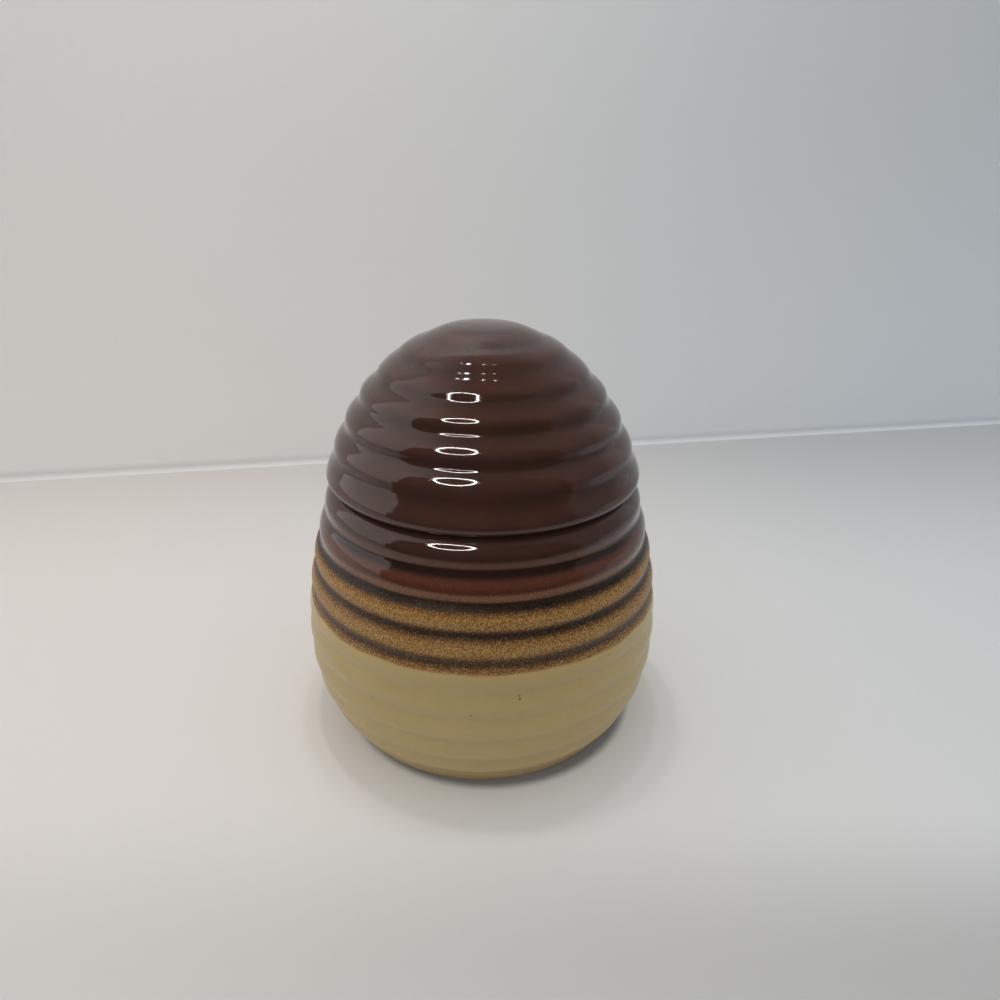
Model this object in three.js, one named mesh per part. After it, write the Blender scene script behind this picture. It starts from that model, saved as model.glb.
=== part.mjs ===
// Ceramic honey pot in the shape of a beehive: a ribbed, egg-shaped pot and a domed lid that
// lifts off. Millimetres, +Z up. The origin is on the axis, in the plane the foot stands on.
// Each piece is turned: one closed outline, revolved about the axis.

import * as THREE from 'three';

// Outside of the pot, on the mean line between rib crests and grooves
const belly_radius = 46.7;
const belly_height = 26.2;
const foot_radius = 38.2;
const rim_radius = 38.7;
const rim_height = 67;
const foot_curve_power = 2.4;
const shoulder_curve_power = 1.78;

// Outside of the lid, on the same mean line
const lip_radius = 39.95;
const dome_rise = 37.7;
const dome_rise_power = 1.25;
const dome_crown_power = 2.46;

// Ribs round both pieces, at even pitches along the surface, up and down from the seam. They
// fade out over the last stretch above the foot, and a smooth cap takes the place of the top ones.
// Their grooves are sharper than their crests, and each crest sags towards the groove below it.
const pot_rib_pitch = 7.22;
const lid_rib_pitch = 7.4;
const rib_depth = 0.74;
const groove_sharpness = 0.3;
const crest_sag = 0.15;
const foot_fade = 12;
const ribs_under_cap = 2;

// Walls and inside of the pot
const pot_wall = 4.6;
const floor_thickness = 5;
const floor_corner = 9;
const mouth_roll = 0.8;
const rim_brow = 3.2;

// Foot ring round a shallow recess
const foot_ring_width = 4.5;
const foot_recess_depth = 1.4;
const foot_roll = 1.1;

// Inside of the lid, with the collar that drops into the mouth and keeps the lid centred
const lid_wall = 4.2;
const lip_thickness = 4;
const lip_brow = 2.3;
const collar_wall = 3.2;
const collar_depth = 5.5;
const collar_clearance = 0.9;
const collar_roll = 0.9;
const seat_gap = 0.3;

// Fineness of the facets
const turn_segments = 48;
const rib_steps = 6;
const walk_steps = 2000;
const roll_steps = 2;
const brow_steps = 5;
const wall_steps = 9;
const corner_steps = 4;
const cap_steps = 5;
const dome_steps = 9;

// Glazes
const pot_glaze = { color: 0x8f7d56, roughness: 0.3, metalness: 0 };
const lid_glaze = { color: 0x3c2822, roughness: 0.15, metalness: 0 };

const quarter_turn = Math.PI / 2;
const [east, north, west, south] = [0, quarter_turn, Math.PI, -quarter_turn];
const point = (radius, height) => new THREE.Vector2(radius, height);
const shares = (steps) => Array.from({ length: steps + 1 }, (_, i) => i / steps);

// Mean line of the pot: one power curve swells from the foot to the belly, and another draws
// in from the belly to the rim.
function potRadius(height) {
  if (height < belly_height) {
    const below_share = (belly_height - height) / belly_height;
    return belly_radius - (belly_radius - foot_radius) * below_share ** foot_curve_power;
  }
  const above_share = (height - belly_height) / (rim_height - belly_height);
  return belly_radius - (belly_radius - rim_radius) * above_share ** shoulder_curve_power;
}

// Inside of the pot's wall at a height, one wall in from the mean line, square to it.
function potInside(height) {
  const rise = (rim_height - belly_height) / walk_steps;
  const slope = (potRadius(height + rise) - potRadius(height - rise)) / (rise + rise);
  return potRadius(height) - pot_wall * Math.hypot(1, slope);
}

// A dome's line, from its edge at angle east to the axis at angle north.
function domePoint(angle, edge_radius, rise, edge_height) {
  const radius_share = Math.cos(angle) ** (2 / dome_crown_power);
  const height_share = Math.sin(angle) ** (2 / dome_rise_power);
  return point(edge_radius * radius_share, edge_height + rise * height_share);
}

// Close places along a curve, with the distance walked to each.
function walk(curve_at) {
  const places = shares(walk_steps).map(curve_at);
  const walked = [0];
  places.slice(1).forEach((place, i) => walked.push(walked[i] + place.distanceTo(places[i])));
  return { places, walked, length: walked[walk_steps] };
}

// The point at a distance along a walked curve, moved off it to the curve's right.
function pointAlong(path, distance, offset) {
  const next = Math.max(path.walked.findIndex((walked) => walked >= distance), 1);
  const [start, end] = [path.places[next - 1], path.places[next]];
  const along = end.clone().sub(start).normalize();
  const place = start.clone().addScaledVector(along, distance - path.walked[next - 1]);
  return place.add(point(along.y, -along.x).multiplyScalar(offset));
}

// How far the ribs' wave stands off the mean line after a climb of so many ribs from the seam's
// groove. A climb is negative below the seam.
function ribSwell(climb) {
  const turn = climb * 2 * Math.PI;
  const sag = crest_sag * (1 - Math.cos(turn));
  return (-Math.cos(turn + groove_sharpness * Math.sin(turn) + sag) * rib_depth) / 2;
}

// The ribbed outline between two distances along a path, in steps that divide each rib evenly.
function ribbedOutline(path, rib_step, from, to, offset_at) {
  const [first, last] = [Math.ceil(from / rib_step), Math.floor(to / rib_step)];
  return shares(last - first).map((share) => {
    const distance = (first + (last - first) * share) * rib_step;
    return pointAlong(path, distance, offset_at(distance));
  });
}

// Arc of a rounded edge about its centre.
function roll(centre_radius, centre_height, radius, start, end, steps = roll_steps) {
  return shares(steps).map((share) => {
    const angle = start + (end - start) * share;
    return point(
      centre_radius + radius * Math.cos(angle),
      centre_height + radius * Math.sin(angle),
    );
  });
}

// Arc that leaves a ribbed outline at its first point, along its slope, and levels out at the
// piece's edge, where it faces straight up or down.
function edgeRoll([first, second], edge_height, facing) {
  const lean = Math.atan((second.x - first.x) / (first.y - second.y));
  const radius = (edge_height - first.y) / (Math.sin(facing) - Math.sin(lean));
  const centre_radius = first.x - radius * Math.cos(lean);
  const centre_height = edge_height - radius * Math.sin(facing);
  return roll(centre_radius, centre_height, radius, facing, lean, brow_steps);
}

function potOutline() {
  const floor_height = foot_recess_depth + floor_thickness;
  const corner_height = floor_height + floor_corner;
  const corner_centre = potInside(corner_height) - floor_corner;
  const corner = shares(corner_steps).slice(0, -1).map((share) => {
    const angle = south * (1 - share);
    return point(
      corner_centre + floor_corner * Math.cos(angle),
      corner_height + floor_corner * Math.sin(angle),
    );
  });
  const roll_height = rim_height - mouth_roll;
  const wall = shares(wall_steps).map((share) => {
    const height = corner_height + (roll_height - corner_height) * share;
    return point(potInside(height), height);
  });
  const mouth = roll(potInside(rim_height) + mouth_roll, roll_height, mouth_roll, west, north);

  // The outside runs down from the seam, and its ribs fade out towards the foot.
  const path = walk((share) => {
    const height = rim_height * (1 - share);
    return point(potRadius(height), height);
  });
  const rib_step = pot_rib_pitch / rib_steps;
  const foot_start = path.length - foot_roll - rib_step / 2;
  const outside = ribbedOutline(path, rib_step, rim_brow, foot_start, (distance) => {
    const fade_share = Math.min((path.length - distance) / foot_fade, 1);
    return -ribSwell(-distance / pot_rib_pitch) * fade_share;
  });
  const rim = edgeRoll(outside, rim_height, north);

  const foot_edge = potRadius(foot_roll) - foot_roll;
  const recess_edge = foot_edge - foot_ring_width;
  const foot = roll(foot_edge, foot_roll, foot_roll, east, south);

  return [
    point(0, floor_height), ...corner, ...wall, ...mouth.slice(1), ...rim, ...outside.slice(1), ...foot,
    point(recess_edge, 0), point(recess_edge - foot_recess_depth, foot_recess_depth),
    point(0, foot_recess_depth),
  ];
}

// Smooth cap over the crown: it swells out of the top groove, then follows the dome.
function crownCap(path, start) {
  const cap = shares(cap_steps).slice(1).map((share) => {
    const swell_share = Math.min(share + share, 1);
    const swell = (-Math.cos(swell_share * Math.PI) * rib_depth) / 2;
    return pointAlong(path, start + (path.length - start) * share, swell);
  });
  cap[cap.length - 1].x = 0;
  return cap;
}

function lidOutline() {
  const lip_height = rim_height + seat_gap;
  const path = walk((share) => domePoint(share * north, lip_radius, dome_rise, lip_height));
  const rib_step = lid_rib_pitch / rib_steps;
  const cap_start = (Math.floor(path.length / lid_rib_pitch) - ribs_under_cap) * lid_rib_pitch;
  const outside = ribbedOutline(path, rib_step, lip_brow, cap_start + rib_step / 2, (distance) =>
    ribSwell(distance / lid_rib_pitch),
  );
  const lip = edgeRoll(outside, lip_height, south);

  const collar_radius = potInside(rim_height) - collar_clearance;
  const collar_inside = collar_radius - collar_wall;
  const tip_height = lip_height - collar_depth + collar_roll;
  const tip_outside = roll(collar_radius - collar_roll, tip_height, collar_roll, east, south);
  const tip_inside = roll(collar_inside + collar_roll, tip_height, collar_roll, south, -west);

  const hollow_rise = dome_rise - lid_wall;
  const hollow_start = Math.asin((lip_thickness / hollow_rise) ** (dome_rise_power / 2));
  const hollow = shares(dome_steps).map((share) => {
    const angle = hollow_start + (north - hollow_start) * share;
    return domePoint(angle, lip_radius - lid_wall, hollow_rise, lip_height);
  });
  hollow[dome_steps].x = 0;

  return [
    ...crownCap(path, cap_start).reverse(), ...outside.slice(1).reverse(), ...lip.reverse(),
    point(collar_radius, lip_height), ...tip_outside, ...tip_inside,
    point(collar_inside, lip_height + lip_thickness), ...hollow,
  ];
}

// Revolves an outline that keeps its solid on the right; a lathe wants it on the left.
function turned(name, outline, glaze) {
  const geometry = new THREE.LatheGeometry(outline.reverse(), turn_segments);
  geometry.rotateX(quarter_turn);
  const mesh = new THREE.Mesh(geometry, new THREE.MeshStandardMaterial(glaze));
  mesh.name = name;
  return mesh;
}

const honey_pot = new THREE.Group();
honey_pot.add(turned('pot', potOutline(), pot_glaze), turned('lid', lidOutline(), lid_glaze));

export default honey_pot;
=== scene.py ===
"""Ceramic honey pot in the shape of a beehive: a ribbed pot and its domed lid, both glazed.

Metres, +Z up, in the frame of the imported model. The finely turned pieces stand for its two
nodes and ride on their bodies.
"""

import math
from bisect import bisect_left

import bpy
from mathutils import Matrix, Vector, noise


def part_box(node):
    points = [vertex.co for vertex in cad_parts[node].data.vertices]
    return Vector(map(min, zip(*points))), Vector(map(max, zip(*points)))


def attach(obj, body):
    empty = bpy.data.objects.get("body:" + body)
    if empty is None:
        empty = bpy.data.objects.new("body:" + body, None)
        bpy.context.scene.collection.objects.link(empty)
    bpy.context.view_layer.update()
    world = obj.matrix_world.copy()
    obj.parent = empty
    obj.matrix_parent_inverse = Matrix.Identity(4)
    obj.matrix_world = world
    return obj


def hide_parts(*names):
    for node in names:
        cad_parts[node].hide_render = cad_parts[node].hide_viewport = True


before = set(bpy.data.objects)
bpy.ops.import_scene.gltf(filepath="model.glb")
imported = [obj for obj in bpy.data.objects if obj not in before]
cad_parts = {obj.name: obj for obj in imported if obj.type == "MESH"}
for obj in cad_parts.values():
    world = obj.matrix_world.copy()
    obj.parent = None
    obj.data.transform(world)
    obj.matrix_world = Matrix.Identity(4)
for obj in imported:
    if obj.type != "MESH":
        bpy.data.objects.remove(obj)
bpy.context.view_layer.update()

mm = 0.001
full_turn = 2 * math.pi
half_turn = math.pi
quarter_turn = math.pi / 2

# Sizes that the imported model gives
pot_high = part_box("pot")[1]
lid_low, lid_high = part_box("lid")
rim_height = pot_high.z
crown_height = lid_high.z
collar_tip_height = lid_low.z

# Ribs round both pieces. Grooves are sharper than crests, and each crest sags towards the
# groove below it. The ribs fade out above the foot, and a smooth cap takes the place of the
# top ones.
rib_depth = 0.74 * mm
pot_rib_pitch = 7.22 * mm
lid_rib_pitch = 7.4 * mm
groove_sharpness = 0.3
crest_sag = 0.15
foot_fade = 12 * mm
ribs_under_cap = 2

# Share of the rib depth at every half rib from the seam, because hand-turned ribs vary
pot_rib_shares = 1.0, 1.0, 0.85, 0.75, 0.85, 1.0
lid_rib_shares = 0.8, 0.6, 0.45, 1.05, 1.25, 1.2, 1.1, 1.0, 0.65, 0.3, 0.3, 0.3, 0.4

# Wobble that the thrower's hand and the glaze leave in the outside. Each wave has its fineness
# round the piece, its length up it and its strength.
hand_play = 0.05 * mm
wobble_waves = (2.2, 9 * mm, 1.0), (6.6, 4 * mm, 0.35)

# Outside of the pot, on the mean line between rib crests and grooves. The belly's crest keeps
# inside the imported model's, wobble and all.
belly_radius = pot_high.x - rib_depth / 2 - 2 * hand_play
belly_height = 26.2 * mm
foot_radius = 38.2 * mm
rim_radius = 38.7 * mm
foot_curve_power = 2.4
shoulder_curve_power = 1.78

# Outside of the lid, on the same mean line
seat_gap = 0.3 * mm
lip_radius = 39.95 * mm
lip_height = rim_height + seat_gap
cap_swell = rib_depth / 2
dome_rise = crown_height - lip_height - cap_swell
dome_rise_power = 1.25
dome_crown_power = 2.46

# Walls and insides. A roll is the radius of a rounded edge, and a brow is how far along the
# outside such an edge reaches.
pot_wall = 4.6 * mm
floor_thickness = 5 * mm
floor_corner = 9 * mm
mouth_roll = 0.8 * mm
rim_brow = 3.61 * mm
foot_ring_width = 4.5 * mm
foot_recess_depth = 1.4 * mm
foot_roll = 1.1 * mm
foot_brow = 1.43 * mm
recess_roll = 0.5 * mm
lid_wall = 4.2 * mm
lip_thickness = 4 * mm
lip_brow = 2.467 * mm
collar_wall = 3.2 * mm
collar_clearance = 0.9 * mm
collar_roll = 0.9 * mm

# Fineness of the turned pieces
turn_steps = 288
rib_steps = 22
walk_steps = 1500
roll_steps = 6
brow_steps = 14
wall_steps = 40
corner_steps = 12
recess_steps = 8
slope_step = 0.02 * mm


def shares(steps):
    """Even shares from 0 to 1, both ends included."""
    return [i / steps for i in range(steps + 1)]


class Station:
    """A point of a piece's outline: its radius and height, how far it lies from the seam along
    the outside, whether it is inside the piece or bare of glaze, and its share of the wobble."""

    def __init__(self, radius, height, run=0.0, inside=0.0, bare=0.0, wobble=0.0):
        self.radius, self.height, self.run = radius, height, run
        self.inside, self.bare, self.wobble = inside, bare, wobble


def pot_radius(height):
    """Mean line of the pot at a height."""
    if height < belly_height:
        below = (belly_height - height) / belly_height
        return belly_radius - (belly_radius - foot_radius) * below**foot_curve_power
    above = (height - belly_height) / (rim_height - belly_height)
    return belly_radius - (belly_radius - rim_radius) * above**shoulder_curve_power


def pot_inside(height):
    """Inside of the pot's wall at a height, one wall in from the mean line, square to it."""
    widening = pot_radius(height + slope_step) - pot_radius(height - slope_step)
    return pot_radius(height) - pot_wall * math.hypot(1, widening / (2 * slope_step))


def dome_point(angle, edge_radius, rise):
    """Point of a dome's line, from its edge at angle 0 to the axis at a quarter turn."""
    radius = edge_radius * max(math.cos(angle), 0) ** (2 / dome_crown_power)
    return radius, lip_height + rise * math.sin(angle) ** (2 / dome_rise_power)


class Path:
    """Close places along a curve, with the distance walked to each."""

    def __init__(self, curve):
        self.places = [Vector(curve(share)) for share in shares(walk_steps)]
        self.walked = [0.0]
        for before, after in zip(self.places, self.places[1:]):
            self.walked.append(self.walked[-1] + (after - before).length)
        self.length = self.walked[-1]

    def at(self, distance, offset):
        """The point at a distance, moved off the curve to its right."""
        after = min(max(bisect_left(self.walked, distance), 1), walk_steps)
        start = self.places[after - 1]
        along = (self.places[after] - start).normalized()
        place = start + along * (distance - self.walked[after - 1])
        return place.x + along.y * offset, place.y - along.x * offset


def rib_swell(climb):
    """How far the ribs stand off the mean line after a climb of so many ribs from the seam."""
    turn = climb * full_turn
    sag = crest_sag * (1 - math.cos(turn))
    return -math.cos(turn + groove_sharpness * math.sin(turn) + sag) * rib_depth / 2


def rib_share(rib_shares, ribs):
    """Share of the rib depth at a distance of so many ribs from the seam."""
    half_ribs = 2 * ribs
    last = len(rib_shares) - 1
    before = min(int(half_ribs), last)
    after = min(before + 1, last)
    return rib_shares[before] + (rib_shares[after] - rib_shares[before]) * (half_ribs - before)


def ribbed(path, start, end, swell):
    """Stations of the ribbed outside between two distances along a path."""
    steps = round((end - start) / pot_rib_pitch * rib_steps)
    distances = [start + (end - start) * share for share in shares(steps)]
    return [Station(*path.at(d, swell(d)), run=d, wobble=1.0) for d in distances]


def roll(radius, height, size, start, end, steps=roll_steps, **kind):
    """Stations of an arc about its centre, from one angle to another."""
    angles = [start + (end - start) * share for share in shares(steps)]
    return [
        Station(radius + size * math.cos(a), height + size * math.sin(a), **kind) for a in angles
    ]


def edge_roll(outside, edge_height, facing):
    """Arc from a piece's edge, where it faces up or down, into the slope of its outside."""
    first, second = outside[:2]
    lean = math.atan((second.radius - first.radius) / (first.height - second.height))
    size = (edge_height - first.height) / (math.sin(facing) - math.sin(lean))
    centre = first.radius - size * math.cos(lean), edge_height - size * math.sin(facing)
    arc = roll(*centre, size, facing, lean, brow_steps)
    for station, share in zip(arc, shares(brow_steps)):
        station.run, station.wobble = first.run * share, share
    return arc


def pot_outline():
    """Stations from the middle of the floor, up the wall, over the rim and down to the foot."""
    floor_height = foot_recess_depth + floor_thickness
    corner_height = floor_height + floor_corner
    corner_centre = pot_inside(corner_height) - floor_corner
    floor = [Station(corner_centre * s, floor_height, inside=1) for s in shares(corner_steps)]
    corner = roll(
        corner_centre, corner_height, floor_corner, -quarter_turn, 0, corner_steps, inside=1
    )
    roll_height = rim_height - mouth_roll
    wall = []
    for share in shares(wall_steps)[1:-1]:
        height = corner_height + (roll_height - corner_height) * share
        wall.append(Station(pot_inside(height), height, inside=1))
    mouth_centre = pot_inside(rim_height) + mouth_roll
    mouth = roll(mouth_centre, roll_height, mouth_roll, half_turn, quarter_turn, inside=1)

    def mean_line(share):
        height = rim_height * (1 - share)
        return pot_radius(height), height

    def swell(distance):
        ribs = distance / pot_rib_pitch
        fade = min((path.length - distance) / foot_fade, 1)
        return -rib_swell(-ribs) * rib_share(pot_rib_shares, ribs) * fade

    path = Path(mean_line)
    outside = ribbed(path, rim_brow, path.length - foot_brow, swell)
    rim = edge_roll(outside, rim_height, quarter_turn)

    foot_edge = pot_radius(foot_roll) - foot_roll
    foot = roll(foot_edge, foot_roll, foot_roll, 0, -quarter_turn, run=path.length, bare=1)
    ring_edge = foot_edge - foot_ring_width
    ring = roll(ring_edge, recess_roll, recess_roll, -quarter_turn, -half_turn, bare=1)
    recess = [
        Station((ring_edge - recess_roll) * (1 - s), foot_recess_depth, bare=1)
        for s in shares(recess_steps)
    ]
    return floor + corner[1:] + wall + mouth + rim + outside[1:] + foot + ring + recess


def lid_outline():
    """Stations from the top of the hollow, down round the collar, and up to the crown."""
    path = Path(lambda share: dome_point(share * quarter_turn, lip_radius, dome_rise))
    cap_start = (math.floor(path.length / lid_rib_pitch) - ribs_under_cap) * lid_rib_pitch
    cap_groove = -lid_rib_shares[-1]

    def swell(distance):
        if distance < cap_start:
            ribs = distance / lid_rib_pitch
            return rib_swell(ribs) * rib_share(lid_rib_shares, ribs)
        risen = min((distance - cap_start) / (path.length - cap_start) * 2, 1)
        return (cap_groove + (1 - cap_groove) * (1 - math.cos(risen * math.pi)) / 2) * cap_swell

    outside = ribbed(path, lip_brow, path.length, swell)
    outside[-1].radius = 0.0
    lip = edge_roll(outside, lip_height, -quarter_turn)

    collar_outside = pot_inside(rim_height) - collar_clearance
    collar_inside = collar_outside - collar_wall
    tip = collar_tip_height + collar_roll
    inner_tip = roll(
        collar_inside + collar_roll, tip, collar_roll, -half_turn, -quarter_turn, bare=1
    )
    outer_tip = roll(collar_outside - collar_roll, tip, collar_roll, -quarter_turn, 0, bare=1)
    seat = Station(collar_outside, lip_height, bare=1)
    ledge = Station(collar_inside, lip_height + lip_thickness, bare=1)

    hollow_rise = crown_height - lid_wall - lip_height
    hollow_start = math.asin((lip_thickness / hollow_rise) ** (dome_rise_power / 2))
    hollow = []
    for share in shares(wall_steps):
        angle = hollow_start + (quarter_turn - hollow_start) * share
        hollow.append(Station(*dome_point(angle, lip_radius - lid_wall, hollow_rise), inside=1))
    hollow[-1].radius = 0.0
    return hollow[::-1] + [ledge] + inner_tip + outer_tip + [seat] + lip + outside[1:]


def hand_wobble(angle, station):
    """How far the outside strays from true at a place."""
    wobble = 0
    for fineness, length, strength in wobble_waves:
        x, y = fineness * math.cos(angle), fineness * math.sin(angle)
        wobble += noise.noise(Vector((x, y, station.run / length))) * strength
    return wobble * hand_play * station.wobble


def put_in_scene(name, data):
    """A new object in the scene, made of a mesh, a light or a camera."""
    placed = bpy.data.objects.new(name, data)
    bpy.context.scene.collection.objects.link(placed)
    return placed


def shaped(name, vertices, faces):
    """A new smooth mesh object."""
    mesh = bpy.data.meshes.new(name)
    mesh.from_pydata(vertices, [], faces)
    mesh.shade_smooth()
    return put_in_scene(name, mesh)


def turned(name, outline):
    """Revolves an outline that starts and ends on the axis, with its marks as attributes."""
    vertices, stations, rings = [], [], []
    for station in outline:
        steps = turn_steps if station.radius > 0 else 1
        for i in range(steps):
            angle = full_turn * i / turn_steps
            radius = station.radius + hand_wobble(angle, station) if steps > 1 else 0
            vertices.append((radius * math.cos(angle), radius * math.sin(angle), station.height))
            stations.append(station)
        rings.append(range(len(vertices) - steps, len(vertices)))
    faces = []
    for before, after in zip(rings, rings[1:]):
        for i in range(turn_steps):
            j = (i + 1) % turn_steps
            start = (before[i], before[j]) if len(before) > 1 else (before[0],)
            end = (after[j], after[i]) if len(after) > 1 else (after[0],)
            faces.append((*start, *end))
    piece = shaped(name, vertices, faces)
    for mark in ("run", "inside", "bare"):
        layer = piece.data.attributes.new(mark, "FLOAT", "POINT")
        layer.data.foreach_set("value", [getattr(station, mark) for station in stations])
    return piece


def linear(red, green, blue):
    """A colour given on the usual scale of 255, as linear light."""
    values = [value / 255 for value in (red, green, blue)]
    return tuple(v / 12.92 if v <= 0.04045 else ((v + 0.055) / 1.055) ** 2.4 for v in values)


class Wire:
    """A number or vector that runs over a surface. Operators on it add Math nodes."""

    def __init__(self, bench, socket):
        self.bench, self.socket = bench, socket

    def __add__(self, other):
        return self.bench.maths("ADD", self, other)

    def __sub__(self, other):
        return self.bench.maths("SUBTRACT", self, other)

    def __rsub__(self, other):
        return self.bench.maths("SUBTRACT", other, self)

    def __mul__(self, other):
        return self.bench.maths("MULTIPLY", self, other)

    def __truediv__(self, other):
        return self.bench.maths("DIVIDE", self, other)

    def __pow__(self, other):
        return self.bench.maths("POWER", self, other)

    __radd__, __rmul__ = __add__, __mul__

    def at_least(self, other):
        return self.bench.maths("MAXIMUM", self, other)

    def step(self, low, high):
        """0 below low, 1 above high, and smooth between them; falling where high is lower."""
        if high < low:
            return 1 - self.step(high, low)
        settings = {"interpolation_type": "SMOOTHSTEP"}
        values = {"Value": self, "From Min": low, "From Max": high}
        return self.bench.node("ShaderNodeMapRange", settings, values)


class Bench:
    """A node tree, with one method that adds any node to it."""

    def __init__(self, tree):
        self.tree = tree
        tree.nodes.clear()

    def add(self, kind, settings, values):
        node = self.tree.nodes.new(kind)
        for name, value in settings.items():
            setattr(node, name, value)
        for name, value in values.items():
            if isinstance(value, Wire):
                self.tree.links.new(value.socket, node.inputs[name])
            else:
                node.inputs[name].default_value = value
        return node

    def node(self, kind, settings=None, values=None, out=0):
        return Wire(self, self.add(kind, settings or {}, values or {}).outputs[out])

    def maths(self, operation, *values):
        return self.node("ShaderNodeMath", {"operation": operation}, dict(enumerate(values)))

    def vectors(self, operation, values, out="Value"):
        return self.node("ShaderNodeVectorMath", {"operation": operation}, values, out)

    def part(self, vector, axis):
        """One part of a vector: X, Y or Z."""
        return self.node("ShaderNodeSeparateXYZ", values={0: vector}, out=axis)

    def mix(self, below, above, share):
        """One colour over another, by a share."""
        colours = [v if isinstance(v, Wire) else (*v, 1) for v in (below, above)]
        values = {0: share, 6: colours[0], 7: colours[1]}
        return self.node("ShaderNodeMix", {"data_type": "RGBA"}, values, 2)


class Finish(Bench):
    """The nodes of a new material."""

    def __init__(self, name):
        self.material = bpy.data.materials.new(name)
        self.material.use_nodes = True
        super().__init__(self.material.node_tree)

    def done(self, shader):
        """The material, with its last shader."""
        self.add("ShaderNodeOutputMaterial", {}, {"Surface": shader})
        return self.material


# Gloss of the glazes: how rough each is, and how strongly it bends light
cream_roughness = 0.3
dark_roughness = 0.07
glossy_ior = 1.52
dull_roughness = 0.5
dull_ior = 1.38
dull_share = 0.75

# Relief of the fired glaze: its depth, and the orange peel and the grit in it, each with its
# size in millimetres and its share
relief_depth = 0.02 * mm
peel_size, peel_share = 2.2, 0.6
grit_size, grit_share = 0.35, 0.4


class Glaze(Finish):
    """The glaze of a turned piece, with what its nodes read. Their lengths are millimetres."""

    def __init__(self, name, rib_pitch):
        super().__init__(name)
        point = self.node("ShaderNodeTexCoord", out="Object")
        self.place = self.vectors("SCALE", {0: point, "Scale": 1 / mm}, "Vector")
        self.height = self.part(self.place, "Z")
        self.ribs = self.mark("run") / rib_pitch
        self.inside = self.mark("inside")
        self.bare = self.mark("bare")

    def mark(self, name):
        return self.node("ShaderNodeAttribute", {"attribute_name": name}, out="Fac")

    def noise(self, grain, detail, seed):
        """Smooth noise about 0.5, with grains of a size."""
        values = {"Vector": self.place, "W": seed, "Scale": 1 / grain, "Detail": detail}
        return self.node("ShaderNodeTexNoise", {"noise_dimensions": "4D"}, values)

    def groove(self, lag=0.0):
        """1 in the grooves and 0 on the crests, moved a share of a rib away from the seam."""
        return self.maths("COSINE", (self.ribs - lag) * full_turn) * 0.5 + 0.5

    def past_groove(self):
        """How far a place lies past the last groove, from 0 there to 1 at the next one."""
        return self.maths("FRACT", self.ribs)

    def fired(self, colour, roughness, matt=0.0):
        """Glossy glaze with orange peel from the kiln, duller and grittier where it is matt."""
        peel = self.noise(peel_size, detail=1.0, seed=3.0) * peel_share
        grit = self.noise(grit_size, detail=1.0, seed=5.0) * matt * grit_share
        values = {"Height": peel + grit, "Distance": relief_depth, "Strength": 1.0}
        values = {"Base Color": colour, "Normal": self.node("ShaderNodeBump", values=values)}
        glossy_values = {**values, "Roughness": roughness, "IOR": glossy_ior}
        dull_values = {**values, "Roughness": dull_roughness, "IOR": dull_ior}
        glossy = self.node("ShaderNodeBsdfPrincipled", values=glossy_values)
        dull = self.node("ShaderNodeBsdfPrincipled", values=dull_values)
        values = {0: matt * dull_share, 1: glossy, 2: dull}
        return self.done(self.node("ShaderNodeMixShader", values=values))


# Glaze and clay colours
cream = linear(189, 166, 113)
cream_deep = linear(183, 157, 101)
gold = linear(214, 160, 64)
gold_pale = linear(208, 172, 108)
amber = linear(116, 74, 34)
burgundy = linear(96, 55, 42)
brown = linear(72, 47, 40)
brown_dark = linear(45, 29, 25)
umber = linear(36, 21, 13)
clay = linear(186, 164, 134)
iron = linear(70, 52, 36)

# Heights on the pot in millimetres: where the dark glaze starts to thin, where it ends, and
# where it starts again inside, below the rim. They drift up and down by so much.
thin_heights = 54.6, 52.0
edge_heights = 36.6, 37.1
inner_heights = 52.0, 58.0
glaze_drift = 1.6
edge_grain = 0.8
inner_mottle = 5

# Size in millimetres of the drift, of the clouds in a glaze and of its gold grains
drift_size = 14
pot_mottle_size, lid_mottle_size = 3.0, 5.0
grain_size = 0.36

# Iron specks: their spacing and the size of the patches they come in, in millimetres, their
# edge and core as shares of the spacing, and how rare and how strong they are
speck_spacing = 2.4
speck_patch = 4.08
speck_edge, speck_core = 0.17, 0.09
speck_rarity = 0.68, 0.7
speck_strength = 0.6

# Roughness that is added where the dark glaze thins, and where the clay is bare
thin_roughness = 0.16
pot_bare_roughness, lid_bare_roughness = 0.4, 0.6


def iron_specks(pot):
    """Small sparse dots, burnt through the glaze."""
    values = {"Vector": pot.place, "Scale": 1 / speck_spacing}
    cell = pot.node("ShaderNodeTexVoronoi", {"feature": "F1"}, values, "Distance")
    patch = pot.noise(speck_patch, detail=0.0, seed=7.0)
    return cell.step(speck_edge, speck_core) * patch.step(*speck_rarity) * speck_strength


def cream_glaze(pot, mottle):
    """The lower half: cream, deeper in the grooves, with a few iron specks."""
    glaze = pot.mix(cream, cream_deep, pot.groove(lag=0.12) * 0.25 + (mottle - 0.5) * 1.5)
    return pot.mix(glaze, iron, iron_specks(pot))


def dark_glaze(pot, level, past, grain):
    """The upper part: redder further down, dark in and below the grooves, with painted shade on
    the lower side of the ribs, and sprinkled with gold over that side."""
    glaze = pot.mix(burgundy, brown, level.step(56, 64))
    sprinkled = (past.step(0.6, 0.8) + (grain - 0.5) * 2) * level.step(66, 54) * 0.12
    glaze = pot.mix(glaze, gold, sprinkled)
    pooled = past.step(0.9, 0.98).at_least(past.step(0.34, 0.12))
    # Painted shade on the lower side of each rib, where it faces down
    shaded = past.step(0.42, 0.6) * past.step(0.74, 0.64) * 0.35
    return pot.mix(glaze, brown_dark, pooled.at_least(shaded))


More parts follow.
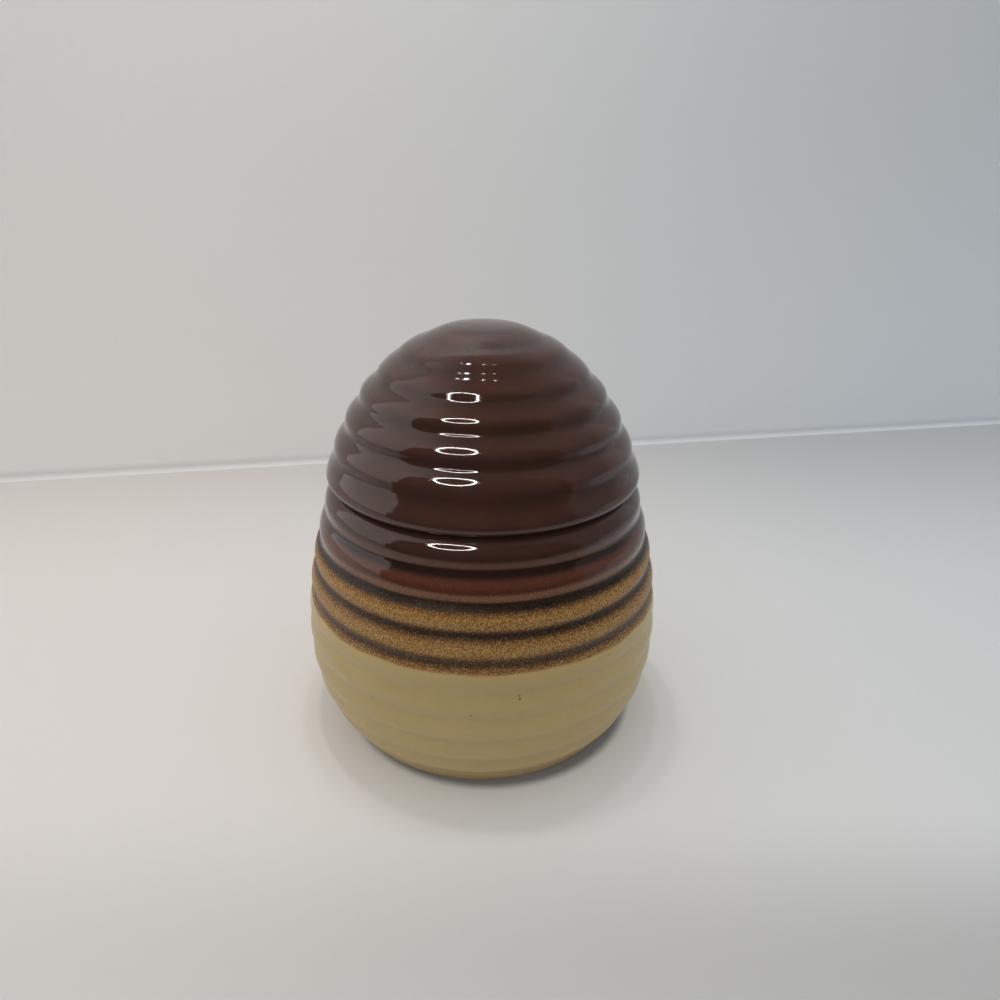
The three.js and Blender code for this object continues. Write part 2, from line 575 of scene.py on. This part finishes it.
def gold_band(pot, level, past, grain):
    """The stretch above the dark glaze's edge. On each rib it thins to gold flecks in an amber
    ground, and it stays dark in the grooves. On the upper ribs it starts to thin later, on the
    lowest one earlier, and in the middle it stays thin for longer."""
    later = level.step(42, 52) * 0.1
    earlier = level.step(40.5, 39.0) * 0.08
    longer = level.step(42, 47) * level.step(54, 51) * 0.13
    thinned = (past - later + earlier).step(0.0, 0.52) * (past - longer).step(0.84, 0.54)
    thinned = thinned + (1 - thinned) * level.step(47.5, 44.5) * 0.16
    ground = pot.mix(umber, amber, thinned.step(0.0, 0.6))
    fleck = pot.mix(gold_pale, gold, level.step(41, 48) * past.step(0.8, 0.35) * 0.6)
    scatter = (grain - 0.5) * (thinned.step(0.0, 0.4) * 1.3 + 0.3)
    return pot.mix(ground, fleck, thinned.step(0.2, 1.0) * 0.38 + scatter)


def pot_glazes():
    """Cream glaze, and over it the dark one that the pot was dipped in from its rim."""
    pot = Glaze("pot_glazes", pot_rib_pitch)
    drift = pot.noise(drift_size, detail=1.0, seed=1.0) - 0.5
    mottle = pot.noise(pot_mottle_size, detail=3.0, seed=2.0)
    grain = pot.noise(grain_size, detail=0.0, seed=4.0)
    level = pot.height + drift * glaze_drift
    past = pot.past_groove()
    thin = level.step(*thin_heights)
    dipped = (level + (grain - 0.5) * edge_grain).step(*edge_heights)
    dark, band = dark_glaze(pot, level, past, grain), gold_band(pot, level, past, grain)
    outside = pot.mix(cream_glaze(pot, mottle), pot.mix(dark, band, thin), dipped)
    run_over = (level + (mottle - 0.5) * inner_mottle).step(*inner_heights)
    inside = pot.mix(cream, pot.mix(gold, brown, run_over), run_over**0.6)
    colour = pot.mix(pot.mix(outside, inside, pot.inside), clay, pot.bare)
    matt = dipped * thin
    roughness = dipped * (dark_roughness - cream_roughness) + cream_roughness
    roughness = roughness + matt * thin_roughness + pot.bare * pot_bare_roughness
    return pot.fired(colour, roughness, matt)


def lid_glaze():
    """The dark glaze all over, darker in the grooves."""
    lid = Glaze("lid_glaze", lid_rib_pitch)
    mottle = lid.noise(lid_mottle_size, detail=3.0, seed=2.0)
    crest = lid.mix(brown, burgundy, mottle.step(0.45, 0.75) * 0.35)
    colour = lid.mix(crest, brown_dark, lid.groove() * 0.45)
    colour = lid.mix(colour, clay, lid.bare)
    return lid.fired(colour, lid.bare * lid_bare_roughness + dark_roughness)


# Studio: a pale floor and backdrop. The backdrop's fold crosses behind the pot at a slant.
fold_left = Vector((-182, 158, 0)) * mm
fold_right = Vector((226, 244, 0)) * mm
fold_radius = 2.5 * mm
fold_steps = 12
backdrop_reach = 0.28, 0.42
backdrop_height = 0.6
floor_reach = 1.6

# Paint of the floor and the backdrop, at the left and at the right: painted light, lighter and
# warmer at the left, darker and cooler at the right. Each painted shade darkens it along an
# axis, from one place to another, by a share at the left and one at the right.
paint_left, paint_right = -190 * mm, 290 * mm
paint_roughness = 0.55
paint_ior = 1.4
floor_paints = (0.722, 0.678, 0.648), (0.593, 0.62, 0.627)
# Painted shade: the floor darkens towards the backdrop, towards the front, most at the right,
# and further in front, out of view, where the glaze shows it
floor_shades = (
    ("Y", 40 * mm, 260 * mm, 0.25, 0.25),
    ("Y", -44 * mm, -88 * mm, 0.09, 0.42),
    ("Y", -105 * mm, -150 * mm, 0.3, 0.3),
)
backdrop_paints = (0.99, 0.97, 0.945), (0.84, 0.885, 0.93)
# Painted shade in the backdrop's fold, and towards its top at the right
backdrop_shades = ("Z", 6 * mm, 0, 0.25, 0.25), ("Z", 20 * mm, 200 * mm, 0.0, 0.1)
black = 0, 0, 0

# Painted contact shadow: the floor is darkest where the foot meets it, by a share within the
# nearer distance.
contact_shadow_middle = Vector((2, -1.7, 0)) * mm
contact_shadow_far, contact_shadow_near = 40.8 * mm, 37.8 * mm
contact_shadow_share = 0.68


def studio_paint(name, paints, shades):
    """Pale paint, lighter at the left as painted light, with painted shade along axes and a
    painted contact shadow round the pot's foot, and clear from its back.
    """
    paint = Finish(name)
    place = paint.node("ShaderNodeTexCoord", out="Object")
    rightward = paint.part(place, "X").step(paint_left, paint_right)
    colour = paint.mix(*paints, rightward)
    # Painted shade along each axis
    for axis, start, end, left, right in shades:
        shade = paint.part(place, axis).step(start, end) * (rightward * (right - left) + left)
        colour = paint.mix(colour, black, shade)
    # Painted contact shadow round the pot's foot, darkest near it
    from_foot = paint.vectors("DISTANCE", {0: place, 1: contact_shadow_middle})
    contact_shadow = from_foot.step(contact_shadow_far, contact_shadow_near) * contact_shadow_share
    colour = paint.mix(colour, black, contact_shadow)
    values = {"Base Color": colour, "Roughness": paint_roughness, "IOR": paint_ior}
    front = paint.node("ShaderNodeBsdfPrincipled", values=values)
    clear = paint.node("ShaderNodeBsdfTransparent")
    behind = paint.node("ShaderNodeNewGeometry", out="Backfacing")
    return paint.done(paint.node("ShaderNodeMixShader", values={0: behind, 1: front, 2: clear}))


def studio_sheet(name, outline, along, reach, material):
    """A sheet drawn out from an outline, so far to the left and so far to the right."""
    vertices = [place + along * side for place in outline for side in (-reach[0], reach[1])]
    faces = [(2 * i, 2 * i + 1, 2 * i + 3, 2 * i + 2) for i in range(len(outline) - 1)]
    sheet = shaped(name, vertices, faces)
    sheet.data.materials.append(material)
    return sheet


def floor_and_backdrop():
    along = (fold_right - fold_left).normalized()
    away = Vector((-along.y, along.x, 0))
    up = Vector((0, 0, 1))
    floor = [away * -floor_reach, away * floor_reach]
    paint = studio_paint("studio_floor", floor_paints, floor_shades)
    studio_sheet("studio_floor", floor, along, (floor_reach, floor_reach), paint)

    foot = fold_left + along * along.dot(-fold_left)
    backdrop = []
    for share in shares(fold_steps):
        a = share * quarter_turn
        bend = away * (math.sin(a) - 1) + up * (1 - math.cos(a))
        backdrop.append(foot + bend * fold_radius)
    backdrop.append(foot + up * backdrop_height)
    paint = studio_paint("studio_backdrop", backdrop_paints, backdrop_shades)
    studio_sheet("studio_backdrop", backdrop, along, backdrop_reach, paint)


# The dark opening in front, that the camera looks through, as it shows in the glaze: its
# plane's distance from the pot, and its edges and their blur as slopes from straight ahead
opening_distance = 170 * mm
opening_left, opening_right = 1.95, 2.1
opening_top = 1.65
opening_blur = 0.06
opening_sill = 105 * mm
opening_glow = 0.03
least_ahead = 0.001


def opening_sheet():
    """The opening's lower part, where it stands on the floor. Only the glaze shows it."""
    foot = Vector((0, -opening_distance, 0))
    outline = [foot, foot + Vector((0, 0, opening_sill))]
    reach = opening_left * opening_distance, opening_right * opening_distance
    dark = Finish("dark_opening")
    glow = dark.node("ShaderNodeEmission", values={"Strength": opening_glow})
    sheet = studio_sheet("dark_opening", outline, Vector((1, 0, 0)), reach, dark.done(glow))
    sheet.visible_camera = sheet.visible_diffuse = sheet.visible_shadow = False


# Glow of the walls in the glaze, at the left, right and back and all round, and how far to its
# side each wall starts and is full
left_glow, right_glow, back_glow, wall_glow = 0.9, 0.1, 0.4, 0.1
side_walls = 0.1, 0.75
back_wall = 0.1, 0.8

# The lamps that show in the glaze: a ring lamp in degrees, and small lamps on the ceiling as
# slopes from straight up, to the right and to the back, with their sizes in degrees
ring_azimuth, ring_elevation = -24.6, 47.0
ring_radius = 12.8
ring_width = 0.8
ring_glow = 72.0
ceiling_lamps = (-0.28, 0.1, 0.8), (-0.19, 0.06, 2.0), (0.0, 0.025, 0.8), (0.12, 0.035, 0.6)
ceiling_glow = 48.0

# Soft light on everything else, less from the right and more from above, and the grey that the
# camera sees past the floor and the backdrop
soft_light = 0.475
soft_right_loss = 0.1
soft_ceiling = 0.57
beyond_grey = 0.57
warm_light, cool_light = (1.0, 0.985, 0.965), (0.94, 0.975, 1.0)
sky_map_width = 1024


def sky_place(azimuth, elevation):
    """Unit vector to a place on the sky, from the pot's front round to its right."""
    a, e = math.radians(azimuth), math.radians(elevation)
    return Vector((math.sin(a) * math.cos(e), -math.cos(a) * math.cos(e), math.sin(e)))


def lamp_shape(bench, sky, middle, radius, width):
    """1 on a ring about a place on the sky, or on a disc where the radius is 0, in degrees."""
    cosine = bench.maths("MINIMUM", bench.vectors("DOT_PRODUCT", {0: sky, 1: middle}), 1.0)
    angle = bench.maths("ARCCOSINE", cosine) * math.degrees(1)
    return bench.maths("ABSOLUTE", angle - radius).step(width, width / 2)


def studio_world():
    """White walls, an open dark front, a ring lamp and a row of small lamps in the glaze, and
    even light on the rest."""
    world = bpy.data.worlds.new("studio")
    bpy.context.scene.world = world
    world.use_nodes = True
    bench = Bench(world.node_tree)
    sky = bench.node("ShaderNodeTexCoord", out="Generated")
    right, back, up = (bench.part(sky, axis) for axis in "XYZ")

    ahead = (back * -1).at_least(least_ahead)
    sideways, upward = right / ahead, up / ahead
    opening = sideways.step(-opening_left - opening_blur, -opening_left + opening_blur)
    opening = opening * sideways.step(opening_right + opening_blur, opening_right - opening_blur)
    opening = opening * upward.step(opening_top + opening_blur, opening_top - opening_blur)
    walls = (right * -1).step(*side_walls) * left_glow + right.step(*side_walls) * right_glow
    walls = walls + back.step(*back_wall) * back_glow + wall_glow
    glossy = walls * (1 - opening) + opening * opening_glow

    ring = sky_place(ring_azimuth, ring_elevation)
    glossy = glossy + lamp_shape(bench, sky, ring, ring_radius, ring_width) * ring_glow
    for across, behind, size in ceiling_lamps:
        middle = Vector((across, behind, 1)).normalized()
        glossy = glossy + lamp_shape(bench, sky, middle, 0.0, size) * ceiling_glow

    soft = soft_light - right * soft_right_loss + up.at_least(0.0) ** 4 * soft_ceiling
    in_glaze = bench.node("ShaderNodeLightPath", out="Is Glossy Ray")
    in_view = bench.node("ShaderNodeLightPath", out="Is Camera Ray")
    strength = glossy * in_glaze + soft * (1 - in_glaze)
    strength = strength * (1 - in_view) + in_view * beyond_grey
    tint = bench.mix(warm_light, cool_light, right * 0.5 + 0.5)
    shader = bench.node("ShaderNodeBackground", values={"Color": tint, "Strength": strength})
    bench.add("ShaderNodeOutputWorld", {}, {"Surface": shader})
    world.cycles.sampling_method = "MANUAL"
    world.cycles.sample_map_resolution = sky_map_width


# Two small lamps over the pot throw its round shadows, one to each side.
key_place = Vector((-62, 60, 520)) * mm
key_power = 0.295
key_colour = 1.0, 0.96, 0.9
side_place = Vector((5, 70, 520)) * mm
side_power = 0.2
side_colour = 0.92, 0.97, 1.0
lamp_size = 32 * mm

# Light thrown back from all around, which reaches under the belly and casts no shadow
fill_strength = 0.56


def overhead_lamp(name, place, power, colour):
    """A round lamp over the pot, which the glaze doesn't show."""
    lamp = bpy.data.lights.new(name, "AREA")
    lamp.shape = "DISK"
    lamp.size = lamp_size
    lamp.energy = power
    lamp.color = colour
    placed = put_in_scene(name, lamp)
    placed.location = place
    placed.rotation_mode = "QUATERNION"
    placed.rotation_quaternion = place.to_track_quat("Z", "Y")
    placed.visible_glossy = False


def fill_light():
    fill = bpy.data.lights.new("fill_light", "SUN")
    fill.energy = fill_strength
    fill.use_shadow = False
    put_in_scene("fill_light", fill).visible_glossy = False


# Camera: it stands close and looks down on the pot. Angles are degrees, and the lens is in
# millimetres.
camera_place = Vector((4.4, -180.7, 139.1)) * mm
camera_pitch = 23.9
camera_roll = 0.84
camera_lens = 27.0
camera_clip_start = 10 * mm


def stand_camera():
    camera = bpy.data.cameras.new("camera")
    camera.lens = camera_lens
    camera.clip_start = camera_clip_start
    placed = put_in_scene("camera", camera)
    tilt = Matrix.Rotation(quarter_turn - math.radians(camera_pitch), 4, "X")
    twist = Matrix.Rotation(math.radians(camera_roll), 4, "Z")
    placed.matrix_world = Matrix.Translation(camera_place) @ tilt @ twist
    bpy.context.scene.camera = placed


stand_camera()
floor_and_backdrop()
opening_sheet()
studio_world()
overhead_lamp("key_lamp", key_place, key_power, key_colour)
overhead_lamp("side_lamp", side_place, side_power, side_colour)
fill_light()
bpy.context.scene.view_settings.view_transform = "Standard"

glazed_pot = turned("glazed_pot", pot_outline())
glazed_pot.data.materials.append(pot_glazes())
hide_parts("pot")
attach(glazed_pot, "pot")

glazed_lid = turned("glazed_lid", lid_outline())
glazed_lid.data.materials.append(lid_glaze())
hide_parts("lid")
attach(glazed_lid, "lid")
